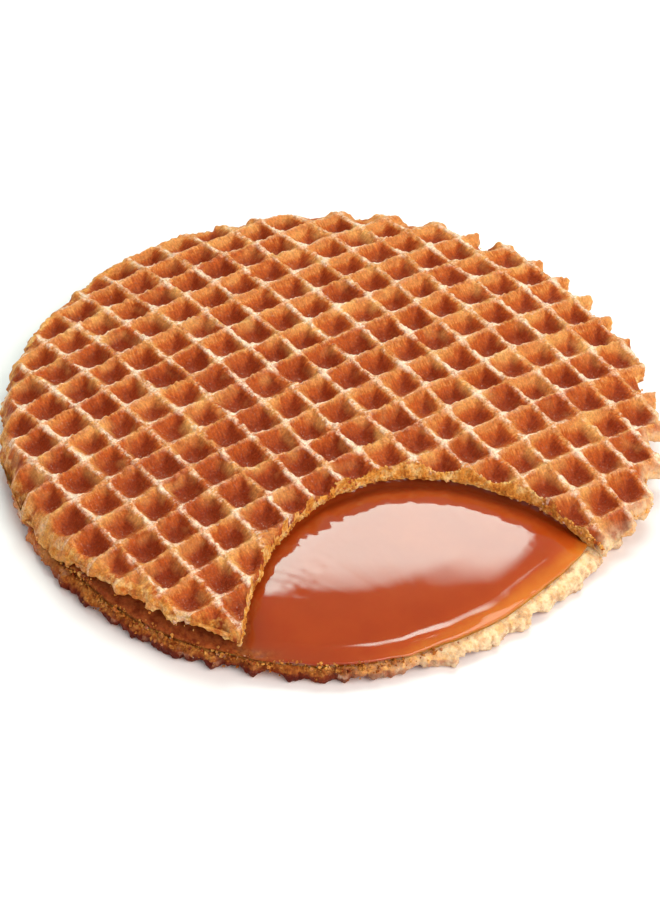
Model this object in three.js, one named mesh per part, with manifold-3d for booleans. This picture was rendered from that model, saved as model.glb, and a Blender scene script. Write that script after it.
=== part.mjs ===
// A stroopwafel with a bite taken out of its upper wafer: two thin round wafers with a
// layer of caramel syrup between them. The lower wafer lies flat on its ridges, and the
// upper one is domed over the syrup. Millimetres, +Z up, with the origin at the middle
// of the underside.

import * as THREE from 'three';
import { mergeVertices } from 'three/addons/utils/BufferGeometryUtils.js';
import Module from 'manifold-3d';

const { degToRad, lerp } = THREE.MathUtils;
const wasm = await Module();
wasm.setup();

// The whole biscuit
const totalHeight = 9.6;
const waferRadius = 43.5;
const seam = 0.3; // left open between the layers
const roundSegments = 96;

// How the upper wafer's ridge tops fall from its middle to its rim
const domeFall = 1.65;
const rimFall = 2.4;
const rimTwist = 0.9; // two opposite quarters of the rim stand higher than the other two

// The waffle pattern: square pockets in rows, with narrow ridges between them
const cellPitch = 5;
const ridgeWidth = 0.75;
const mouthWidth = cellPitch - ridgeWidth;

// Each wafer as it lies with its pockets up, with angles in degrees. A pocket narrows
// in steps, from its mouth to its floor. The rim is a slightly oval circle.
const upper = {
	middle: new THREE.Vector2( 0, 0.4 ),
	thickness: 2.2,
	radius: waferRadius + 0.1,
	oval: 0.4,
	ovalAngle: - 26,
	gridAngle: 38,
	gridShift: new THREE.Vector2( - 1.26, 1.22 ), // along and across the rows
	pocketSteps: [
		{ width: mouthWidth, depth: 0 },
		{ width: 2.5, depth: 1.2 },
		{ width: 1.0, depth: 1.7 },
	],
	color: 0xb9773a,
};
const lower = {
	middle: new THREE.Vector2( - 0.75, - 1.4 ),
	thickness: 2.0,
	radius: waferRadius - 0.9,
	oval: 0.4,
	ovalAngle: - 50,
	gridAngle: 24,
	gridShift: new THREE.Vector2( - 2.38, 0.92 ), // a crossing of ridges lies at the origin
	pocketSteps: [
		{ width: mouthWidth, depth: 0 },
		{ width: 1.6, depth: 1.2 },
	],
	color: 0xa8662e,
};

// The bite, seen from above, from the upper wafer's middle
const biteCentre = new THREE.Vector2( 16.5, - 39.8 );
const biteRadius = 26.6;
const toothDepth = 0.65;
const toothCount = 4; // as many as a whole circle would have
const toothAngle = 117;

// The caramel, seen from above, from the lower wafer's middle
const caramelRadius = 41.3;
const lobeDepth = 0.9;
const lobeCount = 3;
const lobeAngle = - 80;
const biteSwell = 0.5; // how far it bulges where the upper wafer is bitten off

// Height of the upper wafer's ridge tops. Here and below, x and y are from that wafer's middle.
function ridgeHeight( x, y ) {

	const spread = ( x * x + y * y ) / waferRadius ** 2;
	const twist = 2 * x * y / waferRadius ** 2;
	return totalHeight - domeFall * spread - rimFall * spread ** 2 + rimTwist * twist;

}

// Height of the caramel, which bulges into the bite.
function caramelHeight( x, y ) {

	const fromBite = biteCentre.distanceTo( new THREE.Vector2( x, y ) ) / biteRadius;
	const swell = biteSwell * Math.max( 0, 1 - fromBite ** 2 );
	return ridgeHeight( x, y ) - upper.thickness - seam + swell;

}

// A circle's radius with a number of shallow waves round it.
function wavyRadius( radius, waveDepth, waveCount, waveAngle, angle ) {

	return radius + waveDepth * Math.cos( waveCount * ( angle - degToRad( waveAngle ) ) );

}

function toSolid( geometry ) {

	geometry.deleteAttribute( 'normal' );
	geometry.deleteAttribute( 'uv' );
	const merged = mergeVertices( geometry );
	return new wasm.Manifold( new wasm.Mesh( {
		numProp: 3,
		vertProperties: merged.attributes.position.array,
		triVerts: new Uint32Array( merged.index.array ),
	} ) );

}

function toGeometry( solid ) {

	const { vertProperties, triVerts } = solid.getMesh();
	const geometry = new THREE.BufferGeometry();
	geometry.setAttribute( 'position', new THREE.BufferAttribute( vertProperties, 3 ) );
	geometry.setIndex( new THREE.BufferAttribute( triVerts, 1 ) );
	geometry.computeVertexNormals();
	return geometry;

}

// A square block with a wafer's pockets in its upper face and a flat back. Each pocket
// has four corners on each of its steps.
function waffleBlock( wafer, topHeight ) {

	const steps = wafer.pocketSteps;
	const lastStep = steps.length - 1;
	const corners = [ [ - 1, - 1 ], [ 1, - 1 ], [ 1, 1 ], [ - 1, 1 ] ];
	const reach = Math.ceil( waferRadius / cellPitch ) + 1;
	const across = 2 * reach + 1;
	const angle = degToRad( wafer.gridAngle );
	const middle = new THREE.Vector2();
	const face = [];
	const back = [];

	for ( let row = - reach; row <= reach; row ++ ) {

		for ( let column = - reach; column <= reach; column ++ ) {

			for ( const { width, depth } of steps ) {

				for ( const [ alongSide, acrossSide ] of corners ) {

					const place = new THREE.Vector2(
						column * cellPitch + alongSide * width / 2,
						row * cellPitch + acrossSide * width / 2,
					);
					place.add( wafer.gridShift ).rotateAround( middle, angle );
					face.push( place.x, place.y, topHeight( place.x, place.y ) - depth );
					back.push( place.x, place.y, - totalHeight );

				}

			}

		}

	}

	const backStart = face.length / 3;
	const triangles = [];
	const edges = new Set();

	// Two triangles of the face, and their twins on the back
	function addQuad( a, b, c, d ) {

		for ( const [ p, q, r ] of [ [ a, b, c ], [ a, c, d ] ] ) {

			triangles.push( p, q, r, backStart + p, backStart + r, backStart + q );
			edges.add( `${ p } ${ q }` ).add( `${ q } ${ r }` ).add( `${ r } ${ p }` );

		}

	}

	function vertex( column, row, step, corner ) {

		return ( ( row * across + column ) * steps.length + step ) * 4 + corner % 4;

	}

	for ( let row = 0; row < across; row ++ ) {

		for ( let column = 0; column < across; column ++ ) {

			const here = ( step, corner ) => vertex( column, row, step, corner );
			const right = ( corner ) => vertex( column + 1, row, 0, corner );
			const above = ( corner ) => vertex( column, row + 1, 0, corner );
			const beyond = ( corner ) => vertex( column + 1, row + 1, 0, corner );
			const hasRight = column + 1 < across;
			const hasAbove = row + 1 < across;
			addQuad( here( lastStep, 0 ), here( lastStep, 1 ), here( lastStep, 2 ), here( lastStep, 3 ) );

			for ( let step = 0; step < lastStep; step ++ ) {

				for ( let corner = 0; corner < 4; corner ++ ) {

					const next = corner + 1;
					addQuad( here( step, corner ), here( step, next ), here( step + 1, next ), here( step + 1, corner ) );

				}

			}

			if ( hasRight ) {

				addQuad( here( 0, 1 ), right( 0 ), right( 3 ), here( 0, 2 ) );

			}

			if ( hasAbove ) {

				addQuad( here( 0, 3 ), here( 0, 2 ), above( 1 ), above( 0 ) );

			}

			if ( hasRight && hasAbove ) {

				addQuad( here( 0, 2 ), right( 3 ), beyond( 0 ), above( 1 ) );

			}

		}

	}

	// Side walls, along each edge that only one triangle of the face has
	for ( const edge of edges ) {

		const [ a, b ] = edge.split( ' ' ).map( Number );

		if ( ! edges.has( `${ b } ${ a }` ) ) {

			triangles.push( b, a, backStart + a, b, backStart + a, backStart + b );

		}

	}

	const geometry = new THREE.BufferGeometry();
	geometry.setAttribute( 'position', new THREE.Float32BufferAttribute( [ ...face, ...back ], 3 ) );
	geometry.setIndex( triangles );
	return geometry;

}

// A tall block inside the wafer's rim, whose underside is the wafer's inner face.
function rimBlock( wafer, topHeight ) {

	const clearTop = 2 * totalHeight;
	const profile = [ 0, 0.25, 0.5, 0.75, 1 ].map( ( share ) => new THREE.Vector2( share * wafer.radius, 0 ) );
	profile.push( new THREE.Vector2( wafer.radius, clearTop ), new THREE.Vector2( 0, clearTop ) );
	const angle = degToRad( wafer.ovalAngle );
	const stretch = wafer.oval / wafer.radius;
	const geometry = new THREE.LatheGeometry( profile, roundSegments );
	geometry.rotateX( Math.PI / 2 ).scale( 1 + stretch, 1 - stretch, 1 ).rotateZ( angle );
	const places = geometry.attributes.position;

	for ( let i = 0; i < places.count; i ++ ) {

		if ( places.getZ( i ) < totalHeight ) {

			places.setZ( i, topHeight( places.getX( i ), places.getY( i ) ) - wafer.thickness );

		}

	}

	return geometry;

}

// The bite as an upright prism. Each tooth leaves a shallow scallop in its edge.
function biteBlock() {

	const points = [];

	for ( let i = 0; i < roundSegments; i ++ ) {

		const angle = 2 * Math.PI * i / roundSegments;
		const radius = wavyRadius( biteRadius, toothDepth, toothCount, toothAngle, angle );
		points.push( new THREE.Vector2( radius * Math.cos( angle ), radius * Math.sin( angle ) ) );

	}

	const depth = 2 * totalHeight;
	const geometry = new THREE.ExtrudeGeometry( new THREE.Shape( points ), { depth, bevelEnabled: false } );
	geometry.translate( biteCentre.x, biteCentre.y, 0 );
	return geometry;

}

function waferSolid( wafer, topHeight ) {

	const waffle = toSolid( waffleBlock( wafer, topHeight ) );
	return waffle.intersect( toSolid( rimBlock( wafer, topHeight ) ) );

}

function makeUpperWafer() {

	const solid = waferSolid( upper, ridgeHeight ).subtract( toSolid( biteBlock() ) );
	const material = new THREE.MeshStandardMaterial( { color: upper.color, roughness: 0.75, metalness: 0 } );
	const mesh = new THREE.Mesh( toGeometry( solid ), material );
	mesh.name = 'upper_wafer';
	mesh.position.set( upper.middle.x, upper.middle.y, 0 );
	return mesh;

}

// The lower wafer is turned over, so its ridges are what the biscuit lies on.
function makeLowerWafer() {

	const solid = waferSolid( lower, () => 0 );
	const material = new THREE.MeshStandardMaterial( { color: lower.color, roughness: 0.8, metalness: 0 } );
	const mesh = new THREE.Mesh( toGeometry( solid ), material );
	mesh.name = 'lower_wafer';
	mesh.position.set( lower.middle.x, lower.middle.y, 0 );
	mesh.rotation.x = Math.PI;
	return mesh;

}

// A pillow with rounded sides, from the lower wafer up to the upper wafer's inner face.
function makeCaramel() {

	const bottom = lower.thickness + seam;
	// Radius and height as shares of the pillow's own, from the middle of its underside up
	const section = [
		[ 0, 0 ], [ 0.5, 0 ], [ 0.985, 0 ], [ 1, 0.3 ], [ 0.997, 0.65 ], [ 0.98, 0.9 ],
		[ 0.94, 1 ], [ 0.8, 1 ], [ 0.6, 1 ], [ 0.4, 1 ], [ 0.2, 1 ], [ 0, 1 ],
	];
	const profile = section.map( ( [ radius, height ] ) => new THREE.Vector2( radius, height ) );
	const geometry = new THREE.LatheGeometry( profile, 0.75 * roundSegments );
	geometry.rotateX( Math.PI / 2 );
	const places = geometry.attributes.position;

	for ( let i = 0; i < places.count; i ++ ) {

		const angle = Math.atan2( places.getY( i ), places.getX( i ) );
		const radius = wavyRadius( caramelRadius, lobeDepth, lobeCount, lobeAngle, angle );
		const x = lower.middle.x + radius * places.getX( i );
		const y = lower.middle.y + radius * places.getY( i );
		const top = caramelHeight( x - upper.middle.x, y - upper.middle.y );
		places.setXYZ( i, x, y, lerp( bottom, top, places.getZ( i ) ) );

	}

	const material = new THREE.MeshStandardMaterial( { color: 0xa8521c, roughness: 0.18, metalness: 0 } );
	const mesh = new THREE.Mesh( toGeometry( toSolid( geometry ) ), material );
	mesh.name = 'caramel';
	return mesh;

}

const stroopwafel = new THREE.Group();
stroopwafel.add( makeLowerWafer(), makeCaramel(), makeUpperWafer() );

export default stroopwafel;
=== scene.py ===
import math

import bmesh
import bpy
import numpy as np
from mathutils import Matrix, Vector
from mathutils.geometry import delaunay_2d_cdt


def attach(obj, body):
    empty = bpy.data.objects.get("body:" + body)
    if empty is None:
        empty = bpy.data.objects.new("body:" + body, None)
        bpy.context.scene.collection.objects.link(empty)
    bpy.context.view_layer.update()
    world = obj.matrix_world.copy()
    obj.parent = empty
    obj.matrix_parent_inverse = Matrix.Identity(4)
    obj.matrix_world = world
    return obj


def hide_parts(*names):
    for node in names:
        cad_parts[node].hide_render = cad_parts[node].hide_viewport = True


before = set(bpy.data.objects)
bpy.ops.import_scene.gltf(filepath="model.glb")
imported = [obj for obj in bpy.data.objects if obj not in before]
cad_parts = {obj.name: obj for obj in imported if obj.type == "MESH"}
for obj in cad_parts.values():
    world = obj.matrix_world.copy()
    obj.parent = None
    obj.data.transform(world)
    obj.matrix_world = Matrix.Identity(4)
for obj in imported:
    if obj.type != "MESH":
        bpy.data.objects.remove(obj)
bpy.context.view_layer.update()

mm = 0.001  # all shape values below are in millimetres

# the dome that both wafers and the syrup follow
dome = {
    "middle": (0.0, 0.4),
    "radius": 43.5,
    "height": 9.6,
    "fall": 1.65,
    "rimFall": 2.4,
    "twist": 0.9,
}
bite = {
    "middle": (16.5, -39.4),
    "radius": 26.6,
    "toothDepth": 0.65,
    "toothCount": 4,
    "toothAngle": 117,
    "torn": 0.3,
}
# directions round the biscuit in degrees, each with the turns in radians where its side
# begins to fade out and is gone
plainSide = (160, 0.1, 1.2)  # its ribs are low
toothedSide = (28, 0.6, 1.0)
droopingSide = (-168, 0.25, 0.55)


def hills(x, y, step, seed):
    # smooth random hills about one step wide, from -1 to 1
    size = 256
    table = np.random.default_rng(seed).uniform(-1, 1, (size, size))
    gx = np.asarray(x, float) / step + 16 * size
    gy = np.asarray(y, float) / step + 16 * size
    ix = np.floor(gx).astype(int)
    iy = np.floor(gy).astype(int)
    fx = gx - ix
    fy = gy - iy
    fx = fx * fx * (3 - 2 * fx)
    fy = fy * fy * (3 - 2 * fy)
    x0, x1 = ix % size, (ix + 1) % size
    y0, y1 = iy % size, (iy + 1) % size
    low = table[y0, x0] * (1 - fx) + table[y0, x1] * fx
    high = table[y1, x0] * (1 - fx) + table[y1, x1] * fx
    return low * (1 - fy) + high * fy


def roughOf(x, y, seed, *layers):
    # layers of hills, each with its step and its height
    return sum(height * hills(x, y, step, seed + k) for k, (step, height) in enumerate(layers))


def roughAlong(run, seed, *layers):
    return roughOf(run, 0 * run, seed, *layers)


def ease(value, start, end):
    # 0 before start, 1 after end, smooth between
    t = np.clip((value - start) / (end - start), 0, 1)
    return t * t * (3 - 2 * t)


def fade(value, start, end):
    # 1 before start, 0 after end
    return 1 - ease(value, start, end)


def softMin(a, b, width):
    # smaller of the two, with the corner rounded over the given width
    mixed = np.clip(0.5 + 0.5 * (b - a) / width, 0, 1)
    return b * (1 - mixed) + a * mixed - width * mixed * (1 - mixed)


def wrapped(angle):
    return np.arctan2(np.sin(angle), np.cos(angle))


def turnBetween(angle, other):
    # the smaller turn from one angle to another given in degrees, in radians without sign
    return np.abs(wrapped(angle - math.radians(other)))


def facing(angle, side):
    # 1 on the given side, 0 away from it
    return fade(turnBetween(angle, side[0]), side[1], side[2])


def awayFrom(angle, side):
    return ease(turnBetween(angle, side[0]), side[1], side[2])


def distanceTo(spot, x, y):
    return np.hypot(x - spot[0], y - spot[1])


def angleAt(part, x, y):
    # direction of a point from the part's middle
    return np.arctan2(y - part["middle"][1], x - part["middle"][0])


def onRing(part, angle, radius):
    return part["middle"][0] + radius * np.cos(angle), part["middle"][1] + radius * np.sin(angle)


def ringOf(part, angle, radius):
    return np.stack(onRing(part, angle, radius), axis=1)


def roundAngles(radius, spacing):
    # directions that lie the given spacing apart at the radius
    return np.linspace(-math.pi, math.pi, int(2 * math.pi * radius / spacing), endpoint=False)


def ridgeHeight(x, y):
    x = x - dome["middle"][0]
    y = y - dome["middle"][1]
    spread = (x * x + y * y) / dome["radius"] ** 2
    twist = 2 * x * y / dome["radius"] ** 2
    return dome["height"] - (dome["fall"] * spread + dome["rimFall"] * spread ** 2) + dome["twist"] * twist


def biteRadius(angle):
    # four blunt tooth marks with a torn edge
    wave = np.cos(bite["toothCount"] * (angle - math.radians(bite["toothAngle"])))
    torn = roughAlong(angle * bite["radius"], 11, (2.6, 0.6), (0.8, 0.3))
    return bite["radius"] + bite["toothDepth"] * wave + bite["torn"] * torn


def fromBite(x, y):
    # how far a point lies outside the edge of the bite
    return distanceTo(bite["middle"], x, y) - biteRadius(angleAt(bite, x, y))


def gridWarp(part, u, v):
    # the iron's rows are never quite straight in the baked wafer
    seed = part["seed"]
    layers = ((6.5, part["sway"]), (2.1, 0.35 * part["sway"]))
    return roughOf(u, v, seed, *layers), roughOf(u, v, seed + 2, *layers)


def gridTurn(part):
    angle = math.radians(part["gridAngle"])
    return math.cos(angle), math.sin(angle)


def fromGrid(part, u, v):
    du, dv = gridWarp(part, u, v)
    a = u + du + part["gridShift"][0]
    b = v + dv + part["gridShift"][1]
    c, s = gridTurn(part)
    return part["middle"][0] + a * c - b * s, part["middle"][1] + a * s + b * c


def toGrid(part, x, y):
    c, s = gridTurn(part)
    x = x - part["middle"][0]
    y = y - part["middle"][1]
    a = x * c + y * s - part["gridShift"][0]
    b = y * c - x * s - part["gridShift"][1]
    u, v = a, b
    for step in range(3):
        du, dv = gridWarp(part, u, v)
        u = a - du
        v = b - dv
    return u, v


def inCell(part, w):
    # number of the cell, and the signed distance from its middle
    cell = np.round(w / part["pitch"])
    return cell, w - cell * part["pitch"]


def cellRandom(part, i, j, which):
    # one fixed random number from -1 to 1 for each cell
    table = np.random.default_rng(part["seed"] + 50 + which).uniform(-1, 1, (64, 64))
    return table[(i.astype(int) + 32) % 64, (j.astype(int) + 32) % 64]


def pocketDepth(part, u, v):
    # depth below the ridge tops, and the tone of the cell
    i, du = inCell(part, u)
    j, dv = inCell(part, v)
    across, along = np.abs(du), np.abs(dv)
    half = part["pitch"] / 2
    seed = part["seed"] + 20
    rough = roughOf(u, v, seed, (0.9, 0.6), (0.36, 0.55))
    # the walls are fluted from the ridge tops down, and lean a little differently in each cell
    fluteU = hills(v, across * 0.5, 0.42, seed + 2)
    fluteV = hills(u, along * 0.5, 0.42, seed + 3)
    ridgeU = part["ridgeAcross"] + 0.14 * rough + 0.07 * fluteU
    ridgeV = part["ridgeAlong"] + 0.10 * rough + 0.07 * fluteV
    leanU = 0.11 * cellRandom(part, i, j, 0) * np.sign(du)
    leanV = 0.11 * cellRandom(part, i, j, 1) * np.sign(dv)
    fallU = (half - ridgeU - across) / (part["slope"] * (1 + leanU))
    fallV = (half - ridgeV - along) / (part["slope"] * (1 + leanV))
    # the near corner of each pocket is rounded and partly filled
    corner = ease(-du - dv, 1.2, 4.2)
    fall = np.clip(softMin(fallU, fallV, 0.1 + part["cornerRound"] * corner), 0, None)
    fall = softMin(fall, 1.0 + 0 * fall, 0.2)
    shoulder = part["shoulder"]
    fall = np.where(fall < shoulder, fall * fall / (2 * shoulder), fall - shoulder / 2)
    fall = fall / (1 - shoulder / 2)
    deep = part["depth"] * (0.98 + 0.14 * cellRandom(part, i, j, 2))
    # ridge tops sag between the crossings, one set more than the other, and are crumbly
    sag = np.where(across > along, part["sagAcross"] * ease(half - along, 0.2, 1.6),
                   part["sagAlong"] * ease(half - across, 0.4, 2.2))
    knobs = roughOf(u, v, seed + 4, (0.42, 0.20), (0.9, 0.14))
    knobs = knobs + 0.13 * np.where(across > along, fluteU, fluteV)
    knobs = knobs * (1 - np.clip(fall * 2.5, 0, 1))
    fall = fall * (1 - part["cornerFill"] * corner)
    return deep * fall + sag * (1 - fall) - knobs, cellRandom(part, i, j, 3)


def rimRadius(part, angle):
    # the ends of the ridges stand out of the rim as blunt ribs
    base = part["radius"] + part["oval"] * np.cos(2 * (angle - math.radians(part["ovalAngle"])))
    u, v = toGrid(part, *onRing(part, angle, base))
    half = part["pitch"] / 2
    rib = ease(np.maximum(np.abs(inCell(part, u)[1]), np.abs(inCell(part, v)[1])), half - 1.3, half - 0.3)
    ribOut = part["ribOut"] * awayFrom(angle, plainSide) + 0.2 + part["toothed"] * facing(angle, toothedSide)
    torn = roughAlong(angle * base, part["seed"] + 30, (2.3, 0.5), (0.9, 0.35), (0.4, 0.3))
    worn = part["wornDepth"] * facing(angle, part["wornSide"])
    flare = part["flare"] * facing(angle, droopingSide)
    return base + ribOut * (rib - 0.45) + part["torn"] * torn - worn + flare


def fromRim(part, x, y):
    # how far a point lies inside the rim
    return rimRadius(part, angleAt(part, x, y)) - distanceTo(part["middle"], x, y)


def roundLoop(part):
    angle = roundAngles(part["radius"], part["rimStep"])
    return ringOf(part, angle, rimRadius(part, angle))


def bittenLoop(part):
    # round the rim from one tip of the bite to the other, then back along the bite
    toBite = angleAt(part, *bite["middle"])
    angle = toBite + np.linspace(0, 2 * math.pi, int(2 * math.pi * part["radius"] / part["rimStep"]))
    rim = ringOf(part, angle, rimRadius(part, angle))
    kept = np.flatnonzero(fromBite(*rim.T) > 0.5 * part["rimStep"])
    rim = rim[kept[0]:kept[-1] + 1]
    angle = toBite + np.linspace(2 * math.pi, 0, int(2 * math.pi * bite["radius"] / part["biteStep"]))
    edge = ringOf(bite, angle, biteRadius(wrapped(angle)))
    kept = np.flatnonzero(fromRim(part, *edge.T) > 0.5 * part["biteStep"])
    return np.concatenate([rim, edge[kept[0]:kept[-1] + 1]])


def slopePoints(part):
    # close points on the broken slope along the bite
    rows = np.arange(0.15, 2.3, 0.155)
    angle = roundAngles(bite["radius"], 0.17)
    away, turned = np.meshgrid(rows, angle)
    turned = turned + (np.arange(len(rows))[None, :] % 2) * 0.5 * (angle[1] - angle[0])
    x, y = onRing(bite, turned, biteRadius(wrapped(turned)) + away)
    spots = np.stack([x.ravel(), y.ravel()], axis=1)
    return spots[(fromRim(part, *spots.T) > 0.16) & (fromBite(*spots.T) > 0.1)]


def slantedPoints(reach, step, slantX, slantY):
    # rows and columns of points, slanted so that no four lie on one circle
    lines = np.arange(-reach, reach + 0.1, step)
    x, y = np.meshgrid(lines, lines)
    return np.stack([x.ravel() + slantX * y.ravel(), y.ravel() - slantY * x.ravel()], axis=1)


def cellPoints(part):
    # one cell's points: close rows along its ridges, wider ones in the pocket
    half = part["pitch"] / 2
    bands, step = part["bands"], part["bandStep"]
    offsets = sorted([-b for b in bands] + [b for b in bands if b])
    steps = np.arange(0, part["pitch"] - 0.5 * step, step) - half
    spots = []
    for k, offset in enumerate(offsets):
        shifted = steps + (k % 2) * 0.5 * step
        spots.append(np.stack([np.full(len(steps), half + offset), shifted], axis=1))
        clear = np.abs(np.abs(shifted) - half) > max(bands) + 0.4 * step
        spots.append(np.stack([shifted[clear], np.full(clear.sum(), half + offset)], axis=1))
    marks = [-m for m in reversed(part["pocketMarks"])] + list(part["pocketMarks"])
    u, v = np.meshgrid(marks, marks)
    spots.append(np.stack([u.ravel(), v.ravel()], axis=1))
    return np.concatenate(spots)


def gridPoints(part):
    cell = cellPoints(part)
    reach = int(part["radius"] / part["pitch"]) + 2
    cells = np.arange(-reach, reach + 1) * part["pitch"]
    cornerU, cornerV = np.meshgrid(cells, cells)
    u = np.add.outer(cornerU.ravel(), cell[:, 0]).ravel()
    v = np.add.outer(cornerV.ravel(), cell[:, 1]).ravel()
    x, y = fromGrid(part, u, v)
    near = distanceTo(part["middle"], x, y) < part["radius"] + 2
    return np.stack([x[near], y[near]], axis=1)


def insideLoop(loop, spots):
    # whether each spot lies inside the closed loop
    x, y = spots[:, 0, None], spots[:, 1, None]
    x0, y0 = loop[:, 0], loop[:, 1]
    x1, y1 = np.roll(x0, -1), np.roll(y0, -1)
    spans = (y0 > y) != (y1 > y)
    rise = np.where(y1 == y0, 1, y1 - y0)
    crossed = spans & (x < x0 + (y - y0) * (x1 - x0) / rise)
    return crossed.sum(axis=1) % 2 == 1


def fillLoop(loop, points):
    # triangles over the loop and the loose points inside it
    count = len(loop)
    edges = [(i, (i + 1) % count) for i in range(count)]
    flat = np.concatenate([loop, points])
    out = delaunay_2d_cdt([Vector(p) for p in flat.tolist()], edges, [], 1, 1e-7, False)
    if len(out[0]) != len(flat):
        raise RuntimeError("points fell together")
    tris = np.array(out[2])
    # triangles between points of the loop alone may lie outside it
    bare = np.flatnonzero((tris < count).all(axis=1))
    outside = bare[~insideLoop(loop, flat[tris[bare]].mean(axis=1))]
    tris = np.delete(tris, outside, axis=0)
    a, b, c = flat[tris[:, 0]], flat[tris[:, 1]], flat[tris[:, 2]]
    turn = (b[:, 0] - a[:, 0]) * (c[:, 1] - a[:, 1]) - (b[:, 1] - a[:, 1]) * (c[:, 0] - a[:, 0])
    tris[turn < 0] = tris[turn < 0][:, ::-1]
    return tris


def closedShell(loop, topPoints, topHeight, underPoints, underHeight, rows, bulge):
    # skin over the top and the underside, joined by a wall of the given rows round the loop
    count = len(loop)
    topFlat = np.concatenate([loop, topPoints])
    underFlat = np.concatenate([loop, underPoints])
    top = np.column_stack([topFlat, topHeight(*topFlat.T)])
    under = np.column_stack([underFlat, underHeight(*underFlat.T)])
    ahead = np.roll(loop, -1, axis=0) - np.roll(loop, 1, axis=0)
    outward = np.stack([ahead[:, 1], -ahead[:, 0]], axis=1)
    outward = outward / np.linalg.norm(outward, axis=1)[:, None]
    steps = np.linalg.norm(np.roll(loop, -1, axis=0) - loop, axis=1)
    run = np.concatenate([[0], np.cumsum(steps)[:-1]])
    wall = []
    for row in range(1, rows):
        share = row / rows
        ring = top[:count] * (1 - share) + under[:count] * share
        ring[:, :2] = ring[:, :2] + outward * bulge(share, run, ring[:, 2])[:, None]
        wall.append(ring)
    verts = np.concatenate([top, under] + wall)
    starts = [0] + [len(top) + len(under) + count * k for k in range(rows - 1)] + [len(top)]
    here = np.arange(count)
    after = (here + 1) % count
    quads = []
    for upper, lower in zip(starts[:-1], starts[1:]):
        quads.append(np.stack([upper + here, lower + here, lower + after, upper + after], axis=1))
    quads = np.concatenate(quads)
    halves = np.concatenate([quads[:, [0, 1, 2]], quads[:, [0, 2, 3]]])
    underTris = fillLoop(loop, underPoints)[:, ::-1] + len(top)
    return verts, np.concatenate([fillLoop(loop, topPoints), underTris, halves])


def newObject(name, data):
    made = bpy.data.objects.new(name, data)
    bpy.context.scene.collection.objects.link(made)
    return made


def makePiece(name, verts, tris, smooth, marks, material):
    mesh = bpy.data.meshes.new(name)
    mesh.from_pydata((verts * mm).tolist(), [], tris.tolist())
    mesh.polygons.foreach_set("use_smooth", smooth)
    for key, values in marks.items():
        if values.ndim == 2:
            layer = mesh.attributes.new(key, "FLOAT_VECTOR", "POINT")
            layer.data.foreach_set("vector", values.astype(np.float32).ravel())
        else:
            layer = mesh.attributes.new(key, "FLOAT", "POINT")
            layer.data.foreach_set("value", values.astype(np.float32))
    mesh.materials.append(material)
    mesh.update()
    return newObject(name, mesh)


def newMaterial(name, settings):
    material = bpy.data.materials.new(name)
    material.use_nodes = True
    tree = material.node_tree
    shader = tree.nodes["Principled BSDF"]
    for key, value in settings.items():
        shader.inputs[key].default_value = value
    return material, tree, shader


def node(tree, kind, settings=None, **inputs):
    # new node with its settings and its inputs, which are values or other nodes' outputs
    made = tree.nodes.new("ShaderNode" + kind)
    for key, value in (settings or {}).items():
        setattr(made, key, value)
    for key, value in inputs.items():
        socket = made.inputs[int(key[1:])] if key[0] == "i" and key[1:].isdigit() else made.inputs[key]
        if isinstance(value, bpy.types.NodeSocket):
            tree.links.new(value, socket)
        else:
            socket.default_value = value
    return made


def sums(tree, operation, *values):
    inputs = {"i%d" % k: value for k, value in enumerate(values)}
    return node(tree, "Math", {"operation": operation}, **inputs).outputs[0]


def times(tree, first, second):
    return sums(tree, "MULTIPLY", first, second)


def added(tree, value, weight, level):
    # the level with a share of the value added to it
    return sums(tree, "MULTIPLY_ADD", value, weight, level)


def swung(tree, level, noise, weight):
    # the level moved up and down by a noise
    return added(tree, sums(tree, "SUBTRACT", noise, 0.5), weight, level)


def split(tree, vector):
    return node(tree, "SeparateXYZ", Vector=vector).outputs[:3]


def joined(tree, x, y, z):
    return node(tree, "CombineXYZ", X=x, Y=y, Z=z).outputs[0]


def markOf(tree, name, output="Fac"):
    # a value that the mesh carries at its points
    return node(tree, "Attribute", {"attribute_name": name}).outputs[output]


def placeOf(tree):
    # place on the piece in millimetres
    place = node(tree, "TexCoord").outputs["Object"]
    return node(tree, "Mapping", Vector=place, Scale=(1 / mm,) * 3).outputs[0]


def noiseOf(tree, place, scale, detail, rough):
    made = node(tree, "TexNoise", Vector=place, Scale=scale, Detail=detail, Roughness=rough)
    return made.outputs["Fac"]


def rampOf(tree, value, colours, stops):
    made = node(tree, "ValToRGB", Fac=value)
    ramp = made.color_ramp
    while len(ramp.elements) < len(stops):
        ramp.elements.new(0.5)
    for element, (name, place) in zip(ramp.elements, stops.items()):
        element.position = place
        element.color = (*colours[name], 1)
    return made.outputs["Color"]


def mixOf(tree, amount, first, second, blend="MIX"):
    first, second = [(*c, 1) if isinstance(c, tuple) else c for c in (first, second)]
    settings = {"data_type": "RGBA", "blend_type": blend}
    return node(tree, "Mix", settings, i0=amount, i6=first, i7=second).outputs[2]


def remap(tree, value, low, high, outLow=0.0, outHigh=1.0):
    made = node(tree, "MapRange", {"clamp": True}, i0=value, i1=low, i2=high, i3=outLow, i4=outHigh)
    return made.outputs[0]


def reliefOf(tree, shader, height):
    bump = node(tree, "Bump", Strength=1.0, Distance=0.0002, Height=height)
    tree.links.new(bump.outputs[0], shader.inputs["Normal"])


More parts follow.
